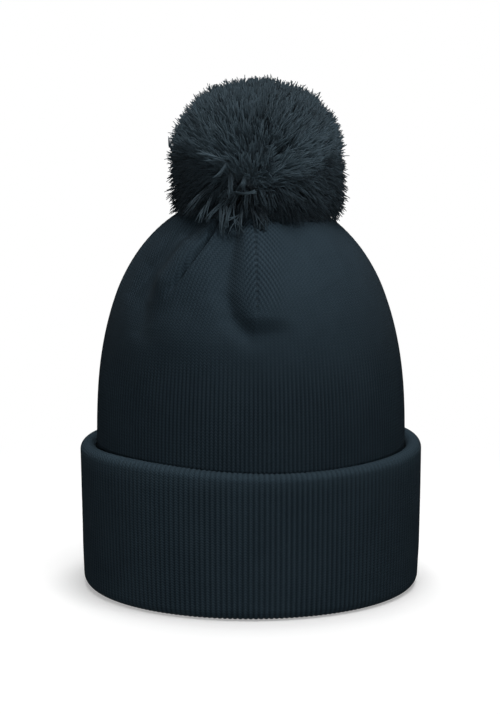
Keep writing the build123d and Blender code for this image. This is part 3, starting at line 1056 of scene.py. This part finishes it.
def label_leaf():
    """The label's leaf, with a slight curl away from the lining towards its lower corners."""
    across, down = 24, 34
    u = np.linspace(0, 1, across)[None, :]
    v = np.linspace(0, 1, down)[:, None]
    x = label_low.x + LABEL_SIZE[0] * u + 0 * v
    z = label_high.z - LABEL_SIZE[1] * v + 0 * u
    curl = 1.6 * MM * v**2 * (0.5 + 2 * (u - 0.5) ** 2) + 0.25 * MM * np.sin(3 * math.pi * u) * v
    front = np.stack([x, label_low.y + 0.05 * MM - curl, z], -1)
    back = front + np.array([0, LABEL_CLOTH, 0])
    points = np.concatenate([front, back]).reshape(-1, 3)
    grid = np.arange(across * down).reshape(down, across)
    faces = np.stack([grid[:-1, :-1], grid[1:, :-1], grid[1:, 1:], grid[:-1, 1:]], -1).reshape(-1, 4)
    other = faces[:, ::-1] + across * down
    rim = np.concatenate([grid[0, :-1], grid[:-1, -1], grid[-1, :0:-1], grid[:0:-1, 0]])
    rim_next = np.roll(rim, -1)
    edge = np.stack([rim, rim_next, rim_next + across * down, rim + across * down], -1)
    return face_mesh("care_label_cloth", points, np.concatenate([faces, other, edge]))


label = finish_piece(label_leaf(), "label", "label_cloth", label_material, "care_label")

LABEL_STITCHES = 7
LABEL_THREAD_RADII = (0.22 * MM, 0.25 * MM, 0.22 * MM)
LABEL_THREAD_TONE = 0.6
lining_face = lining_high.y - LAYER
stitches = np.zeros((LABEL_STITCHES, 3))
stitches[:, 0] = np.linspace(label_low.x, label_high.x, LABEL_STITCHES + 2)[1:-1]
stitches[:, 2] = label_high.z
# Each stitch goes from the lining over the label's edge and back into the lining
label_threads = (
    stitches + (-0.8 * MM, lining_face, 0.6 * MM),
    stitches + (0, label_low.y - 2.2 * MM, 1.4 * MM),
    stitches + (0.8 * MM, lining_face, 0.6 * MM),
    LABEL_THREAD_TONE,
)
sewn(strand_mesh("label_thread", label_threads, LABEL_THREAD_RADII), "label_stitches")


# ---- floor, light and camera

FLOOR_HALF = 6.0
FLOOR_GLOW = 0.33
FLOOR_FADE = (0.2, 0.45)  # metres from the hat's middle over which the floor turns pure white


def mix_shaders(tree, factor, first, second, out):
    """Blends from the first shader to the second by a factor, into an output node."""
    mix = add_node(tree, "MixShader", {0: factor, 1: first.outputs[0], 2: second.outputs[0]})
    set_inputs(out, {0: mix.outputs[0]})


def white_floor():
    """A pale floor that shows a soft shadow near the hat and fades into the white room further out."""
    corners = FLOOR_HALF * np.array([(-1, -1, 0), (1, -1, 0), (1, 1, 0), (-1, 1, 0)])
    floor = face_mesh("floor", corners, np.array([[0, 1, 2, 3]]))
    material, tree, paper = new_material("floor")
    paper_inputs = {
        "Base Color": (0.8, 0.8, 0.8, 1),
        "Roughness": 0.9,
        "Specular IOR Level": 0.0,
        "Emission Color": (1, 1, 1, 1),
        "Emission Strength": FLOOR_GLOW,
    }
    set_inputs(paper, paper_inputs)
    away = add_node(tree, "VectorMath", {0: place_on_piece(tree)}, operation="LENGTH").outputs["Value"]
    fade_inputs = {"Value": away, "From Min": FLOOR_FADE[0], "From Max": FLOOR_FADE[1]}
    fade = add_node(tree, "MapRange", fade_inputs, interpolation_type="SMOOTHSTEP")
    room = add_node(tree, "Emission")
    mix_shaders(tree, fade.outputs[0], paper, room, tree.nodes["Material Output"])
    floor.data.materials.append(material)
    floor.visible_diffuse = False  # the hat takes its light from the lamps and the room alone
    floor.visible_glossy = False


white_floor()


def hang_lamp(light, place, aim, power):
    """Puts a light at a place in metres and turns it to aim at another."""
    light.energy = power
    lamp = bpy.data.objects.new(light.name, light)
    bpy.context.scene.collection.objects.link(lamp)
    lamp.location = place
    lamp.rotation_euler = (Vector(aim) - Vector(place)).to_track_quat("-Z", "Y").to_euler()


def area_light(name, place, aim, size, power):
    """A round softbox, of a size in metres and a power in watts."""
    light = bpy.data.lights.new(name, "AREA")
    light.shape = "DISK"
    light.size = size
    hang_lamp(light, place, aim, power)


area_light("top", (0.2, -0.5, 2.1), (0, 0, 0.15), 1.1, 23)
area_light("top_back", (0.0, 0.5, 2.1), (0, 0, 0.15), 1.1, 18)
area_light("front", (0.0, -2.4, 0.2), (0, 0, 0.12), 0.4, 21)


def crown_spot(place, aim, cone, power):
    """A snooted lamp from the upper right that picks out the folds of the crown and the pom."""
    light = bpy.data.lights.new("crown_spot", "SPOT")
    light.spot_size = cone
    light.spot_blend = 1.0
    light.shadow_soft_size = 0.045
    hang_lamp(light, place, aim, power)


crown_spot((1.0, -0.9, 1.3), (0.022, -0.05, 0.19), math.radians(5.8), 85)


def studio_world(shades):
    """A white room to the camera. Its light comes mostly from above, and little from below."""
    world = bpy.data.worlds.new("studio")
    bpy.context.scene.world = world
    world.use_nodes = True
    tree = world.node_tree
    tree.nodes.clear()
    up = split(tree, add_node(tree, "TexCoord").outputs["Generated"])[2]
    shade = ramp(tree, math_node(tree, "MULTIPLY_ADD", up, 0.5, 0.5), shades)
    lit = add_node(tree, "Background", {0: shade})
    seen = add_node(tree, "Background", {0: (1, 1, 1, 1)})
    camera_ray = add_node(tree, "LightPath").outputs["Is Camera Ray"]
    mix_shaders(tree, camera_ray, lit, seen, add_node(tree, "OutputWorld"))


studio_world([(0.0, (0.04, 0.04, 0.04)), (0.5, (0.05, 0.05, 0.05)), (1.0, (0.15, 0.15, 0.15))])

# The camera in front of the hat, looking a little down
CAMERA_DISTANCE = 1.614
CAMERA_HEIGHT = 0.348
CAMERA_PITCH = math.radians(8.04)
CAMERA_LENS = 154.9
camera_data = bpy.data.cameras.new("camera")
camera_data.lens = CAMERA_LENS
camera_data.sensor_width = 36
camera = bpy.data.objects.new("camera", camera_data)
bpy.context.scene.collection.objects.link(camera)
camera.location = (-0.4 * MM, -CAMERA_DISTANCE, CAMERA_HEIGHT)
camera.rotation_euler = (math.pi / 2 - CAMERA_PITCH, 0, 0)
bpy.context.scene.camera = camera
bpy.context.scene.view_settings.view_transform = "Standard"
